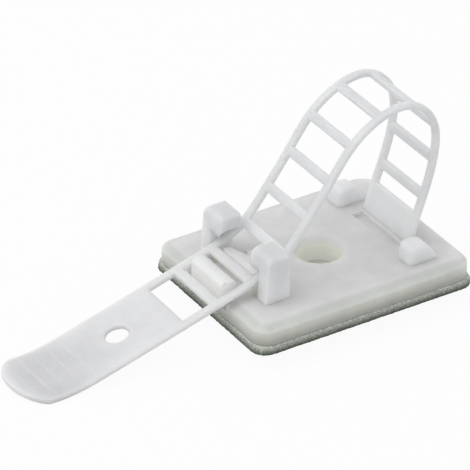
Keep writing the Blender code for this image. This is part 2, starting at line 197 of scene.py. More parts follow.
# %% [markdown]
# ## Joining and cutting
# The real mount is one moulding, so its surfaces have to be one closed skin. Each form is made on
# its own, closed, and the exact Boolean solver joins or cuts them. That leaves no walls inside the
# nylon, which matters, because light travels through it.

# %% Booleans
def combined(target, others, operation):
    """The target with the others joined to it or cut from it; the others are used up."""
    for other in others:
        modifier = target.modifiers.new(other.name, "BOOLEAN")
        modifier.operation = operation
        modifier.solver = "EXACT"
        modifier.object = other
    bpy.context.view_layer.update()
    graph = bpy.context.evaluated_depsgraph_get()
    mesh = bpy.data.meshes.new_from_object(target.evaluated_get(graph))
    target.modifiers.clear()
    target.data = mesh
    for other in others:
        bpy.data.objects.remove(other, do_unlink=True)
    return target


def block(name, low, high):
    """A plain box between two corners, used only as a cutter."""
    (x0, y0, z0), (x1, y1, z1) = low, high
    points = [(x, y, z) for x in (x0, x1) for y in (y0, y1) for z in (z0, z1)]
    faces = [(0, 1, 3, 2), (4, 6, 7, 5), (0, 4, 5, 1), (2, 3, 7, 6), (0, 2, 6, 4), (1, 5, 7, 3)]
    return mesh_from(name, points, faces)


# %% [markdown]
# ## The base plate
# The plate is a slab with rounded corners. Its top rises in a narrow slope to a flat field, and a
# screw hole with a rolled mouth goes through it. A ring that is carried along one profile makes
# all of that at once: under the plate, up its side, over the slope, across the field and down the
# hole. Milky nylon shows no gap over the soft tape, so the plate reaches down to the foam, and a
# short sleeve round the hole reaches into it, which closes the hole's wall down to its floor.

# %% Base plate
PLATE_LENGTH, PLATE_WIDTH, PLATE_CORNER = 25.5, 20.3, 1.75
PLATE_BOTTOM, PLATE_SHOULDER, PLATE_TOP = 0.8, 2.5, 2.95
CROWN_INSET, ROOT_INSET = 1.3, 0.35
LOW_ROUNDING, SHOULDER_ROUNDING, CROWN_ROUNDING = 0.02, 0.34, 0.9
UNDERSIDE_INSET, FIELD_INSET = 0.6, 1.2
HOLE_CENTRE, HOLE_RADIUS, HOLE_RIM, HOLE_FOOT, HOLE_RING = 0.6, 2.3, 0.8, 0.12, 1.6
SLEEVE_WALL, SLEEVE_FLARE = 0.2, 0.25


def plan_loop(length, width, corner, inset):
    """A rounded rectangle in plan, drawn in by inset, always with the same number of points. At the
    strap's root it is drawn in by less: the half beyond the middle is stretched back out in X."""
    radius = max(corner - inset, 0.06)
    half_x, half_y = length / 2 - inset - radius, width / 2 - inset - radius
    arcs = []
    for turn, sign_x, sign_y in ((0, 1, 1), (90, -1, 1), (180, -1, -1), (270, 1, -1)):
        angle = np.radians(turn + np.linspace(0, 90, 13))
        arcs.append(np.stack([sign_x * half_x + radius * np.cos(angle),
                              sign_y * half_y + radius * np.sin(angle)], axis=1))
    loop = []
    for arc, following in zip(arcs, arcs[1:] + arcs[:1]):
        loop.append(arc)
        share = np.linspace(0, 1, 30)[1:-1, None]
        loop.append(arc[-1] * (1 - share) + following[0] * share)
    loop = np.concatenate(loop)
    stretch = (length / 2 - inset * ROOT_INSET / CROWN_INSET) / (length / 2 - inset)
    loop[:, 0] *= np.where(loop[:, 0] > 0, stretch, 1.0)
    return loop


def circle_towards(loop, radius):
    """The points of a circle round the screw hole that lie in the same directions as the loop's."""
    angle = np.arctan2(loop[:, 1], loop[:, 0] - HOLE_CENTRE)
    return np.stack([HOLE_CENTRE + radius * np.cos(angle), radius * np.sin(angle)], axis=1)


def base_plate():
    """Loops in plan at a height each: round the sleeve's foot, out along the underside, up the
    side, over the slope, in across the field and down the hole, whose mouth is a quarter circle."""
    field = plan_loop(PLATE_LENGTH, PLATE_WIDTH, PLATE_CORNER, CROWN_INSET)
    edge = rounded_outline([
        (UNDERSIDE_INSET, PLATE_BOTTOM, 0), (0.0, PLATE_BOTTOM, LOW_ROUNDING),
        (0.0, PLATE_SHOULDER, SHOULDER_ROUNDING), (CROWN_INSET, PLATE_TOP, CROWN_ROUNDING),
        (CROWN_INSET + FIELD_INSET, PLATE_TOP, 0)], 6)
    rows = [(circle_towards(field, HOLE_RADIUS), HOLE_FOOT),
            (circle_towards(field, HOLE_RADIUS + SLEEVE_WALL), HOLE_FOOT),
            (circle_towards(field, HOLE_RADIUS + SLEEVE_FLARE), PLATE_BOTTOM)]
    rows += [(plan_loop(PLATE_LENGTH, PLATE_WIDTH, PLATE_CORNER, inset), z) for inset, z in edge]
    last = rows[-1][0]
    rim = circle_towards(last, HOLE_RADIUS + HOLE_RIM)
    for share in np.linspace(0, 1, 16)[1:]:
        rows.append((last * (1 - share) + rim * share, PLATE_TOP))
    for angle in np.radians([15, 30, 45, 60, 75, 90]):
        radius = HOLE_RADIUS + HOLE_RIM * (1 - math.sin(angle))
        rows.append((circle_towards(last, radius), PLATE_TOP - HOLE_RIM * (1 - math.cos(angle))))
    rows.append((circle_towards(last, HOLE_RADIUS), HOLE_RING))
    points = np.concatenate([np.column_stack([loop, np.full(len(loop), z)]) for loop, z in rows])
    numbers = np.arange(len(points)).reshape(len(rows), -1)
    following = np.roll(numbers, -1, axis=0)
    faces = np.concatenate([between_loops(a, b) for a, b in zip(numbers, following)])
    return mesh_from("base_plate", points, faces)


plate = base_plate()
print("base plate", len(plate.data.polygons), "faces")

# %% [markdown]
# ## Slots and openings in the plate
# Two slots free a tongue at the end where the strap comes in, so that the catch can bend down.
# Beside them the plate is open under the hooks' lips: a moulding tool has to reach there. A groove
# runs along the foot of the strap. Boxes cut all of these. Slots and groove end a little way down,
# because the real ones look shallow: light comes through their walls and the foam closes them
# below.

# %% Cut the plate
STRAP_HALF, WINDOW_HALF = 4.3, 3.38
HOOK_START, HOOK_LENGTH, HOOK_TOP = -9.85, 3.1, 8.05
HOOK_INNER, HOOK_OUTER = 4.65, 6.25
TONGUE_HALF, TONGUE_SLOT, TONGUE_ROOT = 3.03, 0.55, -5.9
GROOVE_START, GROOVE_END, GROOVE_HALF, GROOVE_DEPTH = 7.0, 8.3, 3.85, 0.5
BEYOND_PLATE, LEFT_UNDER_SLOTS, PAST_FACE = -14.0, 1.0, 0.5
OPENING_GAP, OPENING_ENDS = 0.05, 0.1

low, high = PLATE_BOTTOM - PAST_FACE, PLATE_TOP + PAST_FACE
slot_floor = PLATE_BOTTOM + LEFT_UNDER_SLOTS
plate_cutters = []
for side in (-1, 1):
    a, b = sorted((side * TONGUE_HALF, side * (TONGUE_HALF + TONGUE_SLOT)))
    plate_cutters.append(block("slot", (BEYOND_PLATE, a, slot_floor), (TONGUE_ROOT, b, high)))
    a, b = sorted((side * (TONGUE_HALF + TONGUE_SLOT / 2), side * (HOOK_INNER - OPENING_GAP)))
    plate_cutters.append(block("opening", (HOOK_START + OPENING_ENDS, a, low),
                               (HOOK_START + HOOK_LENGTH - OPENING_ENDS, b, high)))
plate_cutters.append(block("root_groove", (GROOVE_START, -GROOVE_HALF, PLATE_TOP - GROOVE_DEPTH),
                           (GROOVE_END, GROOVE_HALF, high)))
plate = combined(plate, plate_cutters, "DIFFERENCE")
print("plate with its slots", len(plate.data.polygons), "faces")

# %% [markdown]
# ## The hooks
# Each hook is a post with a lip that reaches in over the strap's edge. Seen along the strap it is
# an L upside down. Its flank towards the free end leans back a little and rolls over into the top,
# so the L is carried along the strap and then pressed down and drawn in at that end.

# %% Hooks
HOOK_LEAN, HOOK_BACK_LEAN, HOOK_ROLL, HOOK_ROLL_DEPTH = 0.45, 0.12, 1.0, 0.8
LIP_TIP, LIP_THICKNESS, HOOK_SINK, HOOK_EDGE = 2.9, 1.6, 0.4, 0.16


def hook(side):
    """The hook's outline across the strap, carried along it. Height is scaled by a quarter circle
    near the end that rolls over, and the flank's place moves with height by the lean."""
    foot, lip = PLATE_SHOULDER - HOOK_SINK, HOOK_TOP - LIP_THICKNESS
    outline = rounded_outline([
        (side * HOOK_OUTER, foot, 0), (side * HOOK_OUTER, HOOK_TOP, 0.5),
        (side * LIP_TIP, HOOK_TOP, 0.42), (side * LIP_TIP, lip, 0.25),
        (side * HOOK_INNER, lip - 0.1, 0.25), (side * HOOK_INNER, foot, 0)])
    if side < 0:
        outline = outline[::-1]

    def bend(points):
        """Heights times the roof's own at that place, and places moved in step with the height."""
        from_end = points[:, 0] - HOOK_START
        into = np.clip(HOOK_ROLL - from_end, 0, HOOK_ROLL)
        roof = HOOK_TOP - HOOK_ROLL_DEPTH * (HOOK_ROLL - np.sqrt(HOOK_ROLL ** 2 - into ** 2))
        height = (points[:, 2] - foot) / (HOOK_TOP - foot)
        points[:, 2] = foot + height * (roof - foot)
        share = 1 - from_end / HOOK_LENGTH
        points[:, 0] += HOOK_LEAN * height * share - HOOK_BACK_LEAN * height * (1 - share)
        return points

    return soft_extrusion("hook", outline, HOOK_START, HOOK_START + HOOK_LENGTH, HOOK_EDGE, "X",
                          bend, stations=24)


hooks = [hook(-1), hook(1)]
print("hooks", [len(h.data.polygons) for h in hooks], "faces")

# %% [markdown]
# ## Catch, release lever and cheeks
# The catch is a tooth on the tongue: its upright face holds a rung, and its long slope lets the
# next one ride over. At the tongue's end stands the lever that a fingertip pulls to let the strap
# go, with fine grooves for grip. Two low cheeks stand beside the strap where it leaves the plate.
# All are outlines seen from the side and carried across.

# %% Catch, lever and cheeks
TOOTH_FACE, TOOTH_LENGTH, TOOTH_RISE, TOOTH_DROP = -9.1, 2.6, 1.75, 0.25
LEVER_LEFT, LEVER_LENGTH, LEVER_TOP, LEVER_GROOVES = -12.88, 1.85, 4.85, 4
CHEEK_START, CHEEK_CREST, CHEEK_END, CHEEK_TOP = 6.4, 8.6, 10.2, 4.95
CHEEK_GAP, CHEEK_WIDTH, CHEEK_SINK = 1.15, 2.4, 1.2
TOOTH_EDGE, LEVER_EDGE, CHEEK_EDGE = 0.12, 0.09, 0.6
TOOTH_SIDE, LEVER_SIDE, CATCH_SINK, GRIP_DEPTH = 0.15, 0.1, 0.6, 0.04

crest, sink = PLATE_TOP + TOOTH_RISE, PLATE_TOP - CATCH_SINK
tooth_outline = rounded_outline([
    (TOOTH_FACE + TOOTH_LENGTH + 0.25, sink, 0),
    (TOOTH_FACE + TOOTH_LENGTH, PLATE_TOP + TOOTH_DROP, 0.1),
    (TOOTH_FACE + 0.7, crest - 0.05, 0.2), (TOOTH_FACE, crest, 0.13), (TOOTH_FACE, sink, 0)])
tooth = soft_extrusion("tooth", tooth_outline, TOOTH_SIDE - TONGUE_HALF, TONGUE_HALF - TOOTH_SIDE,
                       TOOTH_EDGE, "Y")

lever_foot = PLATE_TOP + 0.1
groove_pitch = (LEVER_TOP - lever_foot - 0.3) / LEVER_GROOVES
lever_side = np.linspace(lever_foot, LEVER_TOP - 0.3, 8 * LEVER_GROOVES + 1)
wave = GRIP_DEPTH / 2 * (1 - np.cos(2 * math.pi * (lever_side - lever_foot) / groove_pitch))
lever_outline = np.concatenate([
    rounded_outline([(LEVER_LEFT + LEVER_LENGTH + 0.15, sink, 0),
                     (LEVER_LEFT + LEVER_LENGTH, LEVER_TOP - 0.5, 0.2),
                     (LEVER_LEFT + LEVER_LENGTH - 0.4, LEVER_TOP - 0.15, 0.2),
                     (LEVER_LEFT + 0.3, LEVER_TOP, 0.1)], 4)[:-1],
    np.stack([LEVER_LEFT + wave, lever_side], axis=1)[::-1],
    [(LEVER_LEFT, sink)]])
lever = soft_extrusion("lever", lever_outline, LEVER_SIDE - TONGUE_HALF, TONGUE_HALF - LEVER_SIDE,
                       LEVER_EDGE, "Y")

cheek_run = (CHEEK_END - CHEEK_CREST) / (CHEEK_TOP - PLATE_TOP)
cheek_foot = PLATE_TOP - CHEEK_SINK
cheek_outline = rounded_outline([
    (CHEEK_END + cheek_run * (PLATE_TOP - cheek_foot), cheek_foot, 0),
    (CHEEK_CREST, CHEEK_TOP, 1.0), (CHEEK_START + 0.2, CHEEK_TOP, 0.8),
    (CHEEK_START - 0.1, cheek_foot, 0)])
cheeks = []
for side in (-1, 1):
    a, b = sorted(side * (STRAP_HALF + CHEEK_GAP + width) for width in (0, CHEEK_WIDTH))
    cheeks.append(soft_extrusion("cheek", cheek_outline, a, b, CHEEK_EDGE, "Y"))
print("tooth, lever, cheek", [len(o.data.polygons) for o in (tooth, lever, cheeks[0])], "faces")

# %% [markdown]
# ## The strap's path
# Seen from the side the strap is one smooth line. A cubic spline through a few measured places
# gives it, because such a spline bends evenly, as a springy strip of nylon does. It is then
# measured along its length, so that everything on the strap can be placed by the distance from its
# free end.

# %% Path of the strap
PATH_KNOTS = np.array([
    (-36.3, -0.50), (-33.5, -0.95), (-30.2, -0.80), (-26.8, -0.02), (-22.8, 1.06), (-18.6, 2.20),
    (-14.8, 3.28), (-11.6, 4.18), (-8.7, 5.18), (-6.15, 6.66), (-4.25, 8.85), (-1.25, 12.80),
    (1.75, 16.78), (4.7, 18.90), (8.5, 19.60), (11.1, 18.15), (12.3, 15.4), (12.15, 12.2),
    (11.2, 8.6), (10.2, 5.8), (9.4, 3.2), (8.95, 1.6)])


def spline_through(knots, per_mm=40):
    """A cubic spline through the knots by their distance along the line: the second derivatives
    solve one system of equations, with none at either end."""
    chord = np.concatenate([[0], np.cumsum(np.linalg.norm(np.diff(knots, axis=0), axis=1))])
    gap = np.diff(chord)
    count = len(knots)
    system = np.eye(count)
    known = np.zeros((count, 2))
    inner = np.arange(1, count - 1)
    system[inner, inner - 1] = gap[:-1]
    system[inner, inner] = 2 * (gap[:-1] + gap[1:])
    system[inner, inner + 1] = gap[1:]
    slope = np.diff(knots, axis=0) / gap[:, None]
    known[inner] = 6 * (slope[1:] - slope[:-1])
    second = np.linalg.solve(system, known)
    at = np.linspace(0, chord[-1], int(chord[-1] * per_mm))
    k = np.clip(np.searchsorted(chord, at, side="right") - 1, 0, count - 2)
    h = gap[k][:, None]
    a = (chord[k + 1] - at)[:, None]
    b = (at - chord[k])[:, None]
    bent = (second[k] * a ** 3 + second[k + 1] * b ** 3) / (6 * h)
    return bent + (knots[k] / h - second[k] * h / 6) * a \
        + (knots[k + 1] / h - second[k + 1] * h / 6) * b


path = spline_through(PATH_KNOTS)
path_length = np.concatenate([[0], np.cumsum(np.linalg.norm(np.diff(path, axis=0), axis=1))])
path_tangent = np.gradient(path, path_length, axis=0)
path_tangent /= np.linalg.norm(path_tangent, axis=1, keepdims=True)
print("strap path", round(path_length[-1], 1), "mm long, top at", round(path[:, 1].max(), 2))


def on_strap(distance, across, out):
    """Points from the distance along the path, the place across it and the height out of its outer
    face: the path's point plus the height times its normal, which is its tangent turned left."""
    x, z, tx, tz = (np.interp(distance, path_length, values) for values in
                    (path[:, 0], path[:, 1], path_tangent[:, 0], path_tangent[:, 1]))
    return np.stack([x - out * tz, across, z + out * tx], axis=-1)


# %% [markdown]
# ## The ladder strap
# In the flat, the strap is a strip with a round end, a hole and twelve windows. Its two faces are
# height fields over a grid of distance and width: flat, but falling off along a quarter circle
# within a small radius of any edge, which is how a mould's edges come out. Five low ridges stand
# on the finger tab. Grid lines are laid closer along every edge. Then the whole strip is bent onto
# the path.

# %% Layout of the strap
STRAP_THICKNESS, RUNG_LENGTH, WINDOWS, EDGE_RADIUS = 0.64, 1.08, 12, 0.2
TAB_END, TAB_ROUNDING, TAB_SIDE = -35.7, 3.6, 4.65
TAB_HOLE, TAB_HOLE_RADIUS = -23.4, 1.25
LADDER_START, LADDER_END_HEIGHT, WEB_HEIGHT = -17.67, 4.4, 5.95
RIDGES, RIDGE_PITCH, RIDGE_FIRST, RIDGE_HEIGHT, RIDGE_WIDTH = 5, 1.57, -34.2, 0.05, 0.36
RIDGE_MARGIN, RIDGE_FADE = 0.75, 0.3
ANYWHERE = 99.0

top_index = int(np.argmax(path[:, 1]))
tab_from = float(np.interp(TAB_END, path[:top_index, 0], path_length[:top_index]))
hole_at = float(np.interp(TAB_HOLE, path[:top_index, 0], path_length[:top_index]))
ladder_from = float(np.interp(LADDER_START, path[:top_index, 0], path_length[:top_index]))
falling = slice(top_index, None)
ladder_to = float(np.interp(-LADDER_END_HEIGHT, -path[falling, 1], path_length[falling]))
web_from = float(np.interp(-WEB_HEIGHT, -path[falling, 1], path_length[falling]))
window_length = (ladder_to - ladder_from - (WINDOWS - 1) * RUNG_LENGTH) / WINDOWS
window_starts = ladder_from + np.arange(WINDOWS) * (window_length + RUNG_LENGTH)
window_ends = window_starts + window_length
window_ends[-1] = web_from
print("windows of", round(window_length, 2), "mm, one each", round(window_length + RUNG_LENGTH, 2))

edge_steps = EDGE_RADIUS * np.array([0.0, 0.134, 0.5, 1.0])


def strap_half_width(distance):
    """Half the strap's width: full, but a half ellipse at the free end, cut off at full width."""
    share = np.clip((distance - tab_from) / TAB_ROUNDING, 0, 1)
    return np.minimum(STRAP_HALF, TAB_SIDE * np.sqrt(np.maximum(1 - (1 - share) ** 2, 0)))


def distance_to_edge(distance, across):
    """The shortest way in the strip's own plane to its rim, to a window or to the tab's hole. The
    way to the round end is an ellipse's: the share left to its edge over how fast that grows."""
    rim = strap_half_width(distance) - np.abs(across)
    inward = 1 - (distance - tab_from) / TAB_ROUNDING
    sideways = across / TAB_SIDE
    radial = np.sqrt(inward ** 2 + sideways ** 2) + 1e-9
    steep = np.sqrt((inward / TAB_ROUNDING) ** 2 + (sideways / TAB_SIDE) ** 2) / radial + 1e-9
    end = np.where(inward > 0, (1 - radial) / steep, ANYWHERE)
    best = np.minimum(rim, end)
    for start, finish in zip(window_starts, window_ends):
        before = np.maximum(np.maximum(start - distance, distance - finish), 0)
        beside = np.maximum(np.abs(across) - WINDOW_HALF, 0)
        best = np.minimum(best, np.hypot(before, beside))
    hole = np.hypot(distance - hole_at, across) - TAB_HOLE_RADIUS
    return np.maximum(np.minimum(best, hole), 0)


def fall_off(edge):
    """How far a face drops at a distance from an edge: a quarter circle of the edge radius."""
    into = np.clip(EDGE_RADIUS - edge, 0, EDGE_RADIUS)
    return EDGE_RADIUS - np.sqrt(EDGE_RADIUS ** 2 - into ** 2)


def ridges(distance, across):
    """Height of the grip ridges: half an ellipse over each, which fades out short of the rim."""
    x = np.interp(distance, path_length, path[:, 0])
    height = np.zeros_like(x)
    for number in range(RIDGES):
        centre = RIDGE_FIRST + number * RIDGE_PITCH
        hump = np.maximum(1 - (2 * (x - centre) / RIDGE_WIDTH) ** 2, 0)
        reach = strap_half_width(tab_from + centre - TAB_END) - RIDGE_MARGIN
        room = np.clip((reach - np.abs(across)) / RIDGE_FADE, 0, 1)
        height = np.maximum(height, RIDGE_HEIGHT * np.sqrt(hump) * room)
    return height


# %% Grid lines of the strap
FINE_FROM, FINE_TO, FINE_STEP = 0.55, 9.2, 0.085
COARSE_FROM, COARSE_STEP, WEB_STEP = 9.4, 0.3, 0.35

angle = np.radians(np.linspace(3, 30, 10))
rows = [tab_from + TAB_ROUNDING * (1 - np.cos(angle)),
        np.arange(tab_from + FINE_FROM, tab_from + FINE_TO, FINE_STEP),
        np.arange(tab_from + COARSE_FROM, ladder_from - COARSE_STEP, COARSE_STEP)]
for start, finish in zip(window_starts, window_ends):
    rows += [start - edge_steps, np.linspace(start, finish, 9), finish + edge_steps]
rows.append(np.arange(window_ends[-1] + 0.4, path_length[-1] - 0.1, WEB_STEP))
rows = np.unique(np.round(np.concatenate(rows), 4))
rail = np.concatenate([STRAP_HALF - edge_steps, WINDOW_HALF + edge_steps,
                       [(STRAP_HALF + WINDOW_HALF) / 2]])
columns = np.concatenate([rail, -rail, np.linspace(-WINDOW_HALF, WINDOW_HALF, 15)])
columns = np.unique(np.round(columns, 4))
print("strap grid", len(rows), "by", len(columns))

# %% [markdown]
# ## Walls and rings of the strip
# The two faces still lack what joins them. Walls stand wherever a filled cell of the grid has an
# open neighbour, at the rim and in each window. The tab's hole is round and the grid is square, so
# a block of cells is left out there, and rings lead from its rim to the hole.

# %% Walls
def strap_walls(filled, number, other):
    """Quads between the outer and the under face wherever a filled cell has an open neighbour: the
    grid of cells gets open ones all round and is compared with itself one step further on."""
    padded = np.pad(filled, 1)
    walls = []
    for axis in (0, 1):
        ahead = padded[1:, 1:-1] if axis == 0 else padded[1:-1, 1:]
        behind = padded[:-1, 1:-1] if axis == 0 else padded[1:-1, :-1]
        for wall, forwards in ((behind & ~ahead, True), (ahead & ~behind, False)):
            i, j = np.nonzero(wall)
            step = (0, 1) if axis == 0 else (1, 0)
            a, b = number[i, j], number[i + step[0], j + step[1]]
            c, d = other[i + step[0], j + step[1]], other[i, j]
            quad = np.stack([a, d, c, b], axis=1) if axis == 0 else np.stack([a, b, c, d], axis=1)
            walls.append(quad if forwards else quad[:, ::-1])
    return walls


# %% Rings round the tab's hole
def block_rim(row_low, row_high, column_low, column_high):
    """Rows and columns of the grid points round a block, in the order in which they follow."""
    deep, wide = row_high - row_low, column_high - column_low
    ring_i = np.concatenate([np.full(wide, row_low), np.arange(row_low, row_high),
                             np.full(wide, row_high), np.arange(row_high, row_low, -1)])
    ring_j = np.concatenate([np.arange(column_high, column_low, -1), np.full(deep, column_low),
                             np.arange(column_low, column_high), np.full(deep, column_high)])
    return ring_i, ring_j


def rings_round_hole(distance, across, loop_top, loop_under, total):
    """Points and quads from the block's rim to the hole. A ring keeps the directions in which the
    rim's points lie, and its radius goes from theirs to the hole's in a few steps. A wall joins the
    last rings of both faces. The total is the number of points that there are so far."""
    turn = np.arctan2(across, distance - hole_at)
    reach = np.hypot(across, distance - hole_at)
    outer_radius = TAB_HOLE_RADIUS + EDGE_RADIUS
    stations = [reach * (1 - t) + outer_radius * t for t in (0.33, 0.67, 1.0)]
    stations += [np.full(len(reach), TAB_HOLE_RADIUS + step) for step in edge_steps[::-1][1:]]
    points, faces = [], []
    for radius in stations:
        s, y = hole_at + radius * np.cos(turn), radius * np.sin(turn)
        drop = fall_off(np.maximum(radius - TAB_HOLE_RADIUS, 0))
        points += [on_strap(s, y, -drop), on_strap(s, y, drop - STRAP_THICKNESS)]
        next_top = total + np.arange(len(reach))
        next_under = next_top + len(reach)
        total += 2 * len(reach)
        faces += [between_loops(loop_top, next_top), between_loops(next_under, loop_under)]
        loop_top, loop_under = next_top, next_under
    faces.append(between_loops(loop_top, loop_under))
    return points, faces


# %% Build the strap
HOLE_BLOCK_LENGTH, HOLE_BLOCK_WIDTH = 2.1, 2.0


def ladder_strap():
    """Two faces over one grid, as heights over and under the path, with their walls and rings."""
    distance = np.repeat(rows[:, None], len(columns), axis=1)
    across = columns[None, :] * (strap_half_width(rows) / STRAP_HALF)[:, None]
    edge = distance_to_edge(distance, across)
    top = on_strap(distance, across, ridges(distance, across) - fall_off(edge))
    under = on_strap(distance, across, fall_off(edge) - STRAP_THICKNESS)
    number = np.arange(distance.size).reshape(distance.shape)
    other = number + distance.size

    middle_row = (rows[:-1] + rows[1:]) / 2
    middle_column = (columns[:-1] + columns[1:]) / 2
    solid = np.ones((len(rows) - 1, len(columns) - 1), bool)
    inside = np.abs(middle_column) < WINDOW_HALF
    for start, finish in zip(window_starts, window_ends):
        solid[np.ix_((middle_row > start) & (middle_row < finish), inside)] = False
    walls = strap_walls(solid, number, other)

    row_low = int(np.searchsorted(rows, hole_at - HOLE_BLOCK_LENGTH))
    row_high = int(np.searchsorted(rows, hole_at + HOLE_BLOCK_LENGTH))
    column_low = int(np.searchsorted(columns, -HOLE_BLOCK_WIDTH))
    column_high = len(columns) - 1 - column_low
    solid[row_low:row_high, column_low:column_high] = False
    i, j = np.nonzero(solid)
    faces = [np.stack([number[i, j], number[i + 1, j], number[i + 1, j + 1], number[i, j + 1]],
                      axis=1),
             np.stack([other[i, j], other[i, j + 1], other[i + 1, j + 1], other[i + 1, j]],
                      axis=1)]

    rim = block_rim(row_low, row_high, column_low, column_high)
    ring_points, ring_faces = rings_round_hole(distance[rim], across[rim], number[rim], other[rim],
                                               2 * distance.size)
    points = np.concatenate([top.reshape(-1, 3), under.reshape(-1, 3), *ring_points])
    faces = np.concatenate([*faces, *walls, *ring_faces])
    used, faces = np.unique(faces, return_inverse=True)
    return mesh_from("ladder_strap", points[used], faces.reshape(-1, 4))


strap = ladder_strap()
print("strap", len(strap.data.polygons), "faces")

# %% [markdown]
# ## One moulding
# Now the forms become one closed skin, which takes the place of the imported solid. Edges that turn
# sharply are marked, so that everything else can be shaded smooth.

# %% Join the moulding
SHARP_ANGLE = 38

moulding = combined(plate, [*hooks, tooth, lever, *cheeks, strap], "UNION")
moulding.name = "nylon_moulding"
moulding.data.name = "nylon_moulding"
moulding.data.shade_smooth()
moulding.data.set_sharp_from_angle(angle=math.radians(SHARP_ANGLE))
check = bmesh.new()
check.from_mesh(moulding.data)
open_edges = sum(not edge.is_manifold for edge in check.edges)
print("moulding", len(check.faces), "faces, open edges", open_edges)
check.free()

# %% [markdown]
# ## The foam pad
# Under the plate lies a pad of double-sided foam tape, die-cut a little larger than the plate. A
# cut through foam is never quite straight, so its rim wanders in and out by a few hundredths of a
# millimetre, and it leans in towards the top. Under the screw hole the foam is pressed down, so
# that its floor lies low and only a crescent of it shows past the hole's mouth.

# %% Foam pad
rng = np.random.default_rng(7)
PAD_LENGTH, PAD_WIDTH, PAD_CORNER = 26.0, 20.8, 1.7
FOAM_PRESSED, FLOOR_RADIUS = 0.15, 1.0
RIM_POINTS, RIM_WAVES, RIM_SWING = 720, 14, 0.0075


def foam_pad():
    """Loops in plan at heights from the foam's lower face to the plate. Each is pushed out or in
    by a sum of sine waves round the rim, whose counts and starts a seeded generator draws."""
    heights = np.array([0.0, 0.04, 0.16, 0.32, 0.48, 0.64, 0.78, 0.87, 0.9])
    insets = np.array([0.06, 0.0, -0.02, 0.0, 0.03, 0.08, 0.15, 0.24, 0.34])
    outline = plan_loop(PAD_LENGTH, PAD_WIDTH, PAD_CORNER, 0.0)
    fine = np.concatenate([outline, outline[:1]])
    walk = np.concatenate([[0], np.cumsum(np.linalg.norm(np.diff(fine, axis=0), axis=1))])
    at = np.linspace(0, walk[-1], RIM_POINTS + 1)[:-1]
    outline = np.stack([np.interp(at, walk, fine[:, 0]), np.interp(at, walk, fine[:, 1])], axis=1)
    inwards = inset_outline(outline, 1.0) - outline
    loops = []
    for z, inset in zip(heights, insets):
        turns = rng.integers(9, 190, RIM_WAVES)
        phases = rng.uniform(0, 2 * math.pi, RIM_WAVES)
        angles = at[:, None] / walk[-1] * 2 * math.pi * turns + phases
        waves = np.sin(angles).sum(axis=1) * RIM_SWING
        loop = inset_outline(outline, inset) + inwards * waves[:, None]
        loops.append(np.column_stack([loop, np.full(len(at), z)]))
    last = loops[-1]
    inner = [np.column_stack([circle_towards(last, radius), np.full(len(at), z)])
             for radius, z in ((HOLE_RADIUS + 0.5, heights[-1]), (HOLE_RADIUS + 0.1, FOAM_PRESSED),
                               (FLOOR_RADIUS, FOAM_PRESSED))]
    inner.insert(0, (last + inner[0]) / 2)
    under = [(1 - t) * loops[0] for t in (0.25, 0.5, 0.75)]
    rings = under[::-1] + loops + inner
    points = np.concatenate(rings)
    numbers = np.arange(len(points)).reshape(len(rings), -1)
    faces = [f for a, b in zip(numbers, numbers[1:]) for f in between_loops(a, b)]
    faces += [numbers[0][::-1], numbers[-1]]
    return mesh_from("foam_tape_pad", points, faces)


pad = foam_pad()
pad.data.shade_smooth()
print("foam pad", len(pad.data.polygons), "faces")

# %% [markdown]
# ## Materials
# A colour is written as the hex number a screen shows, and one function turns it into the linear
# light values that the renderer needs. One more adds a node with its settings and links. Patterns
# and ramps go by each point's place in the model, so they stay with the surface from any side. A
# last function marks a rectangle of the plan, because the finish differs between edge and field.

# %% Colour and node helpers
def linear(hex_colour):
    """An sRGB hex colour as linear red, green, blue and alpha, by the sRGB curve."""
    values = np.array([int(hex_colour[i:i + 2], 16) for i in (1, 3, 5)]) / 255
    curve = np.where(values <= 0.04045, values / 12.92, ((values + 0.055) / 1.055) ** 2.4)
    return (*(float(v) for v in curve), 1.0)


def add_node(tree, kind, settings=None, **inputs):
    """A node of a kind with its settings, a ramp's stops among them, and each input set to a value
    or linked to a socket or a node's first output. An input goes by its name or by i and number."""
    node = tree.nodes.new(kind)
    settings = dict(settings or {})
    for number, (position, colour) in enumerate(settings.pop("stops", ())):
        stops = node.color_ramp.elements
        stop = stops[number] if number < 2 else stops.new(position)
        stop.position, stop.color = position, linear(colour)
    for name, value in settings.items():
        setattr(node, name, value)
    for name, value in inputs.items():
        socket = node.inputs[int(name[1:])] if name[0] == "i" and name[1:].isdigit() \
            else node.inputs[name.replace("_", " ")]
        if isinstance(value, bpy.types.Node):
            value = value.outputs[0]
        if isinstance(value, bpy.types.NodeSocket):
            tree.links.new(value, socket)
        else:
            socket.default_value = value
    return node


def new_material(name):
    """An empty node material and its tree, with only the output node."""
    material = bpy.data.materials.new(name)
    material.use_nodes = True
    material.node_tree.nodes.clear()
    output = material.node_tree.nodes.new("ShaderNodeOutputMaterial")
    return material, material.node_tree, output


SOFT_BORDER = 0.2 * MM
FIELD_HALF_LENGTH, FIELD_HALF_WIDTH = 11.3 * MM, 8.7 * MM


def within(tree, spot, half_length, half_width=1.0):
    """1 where a point lies inside a rectangle about the origin in plan, and 0 a little outside it:
    in each direction the distance from the middle is mapped to 1 or 0, and the smaller counts."""
    ways = []
    for direction, half in (("X", half_length), ("Y", half_width)):
        away = add_node(tree, "ShaderNodeMath", {"operation": "ABSOLUTE"},
                        i0=spot.outputs[direction])
        ways.append(add_node(tree, "ShaderNodeMapRange", Value=away, From_Min=half + SOFT_BORDER,
                             From_Max=half))
    return add_node(tree, "ShaderNodeMath", {"operation": "MINIMUM"}, i0=ways[0], i1=ways[1])
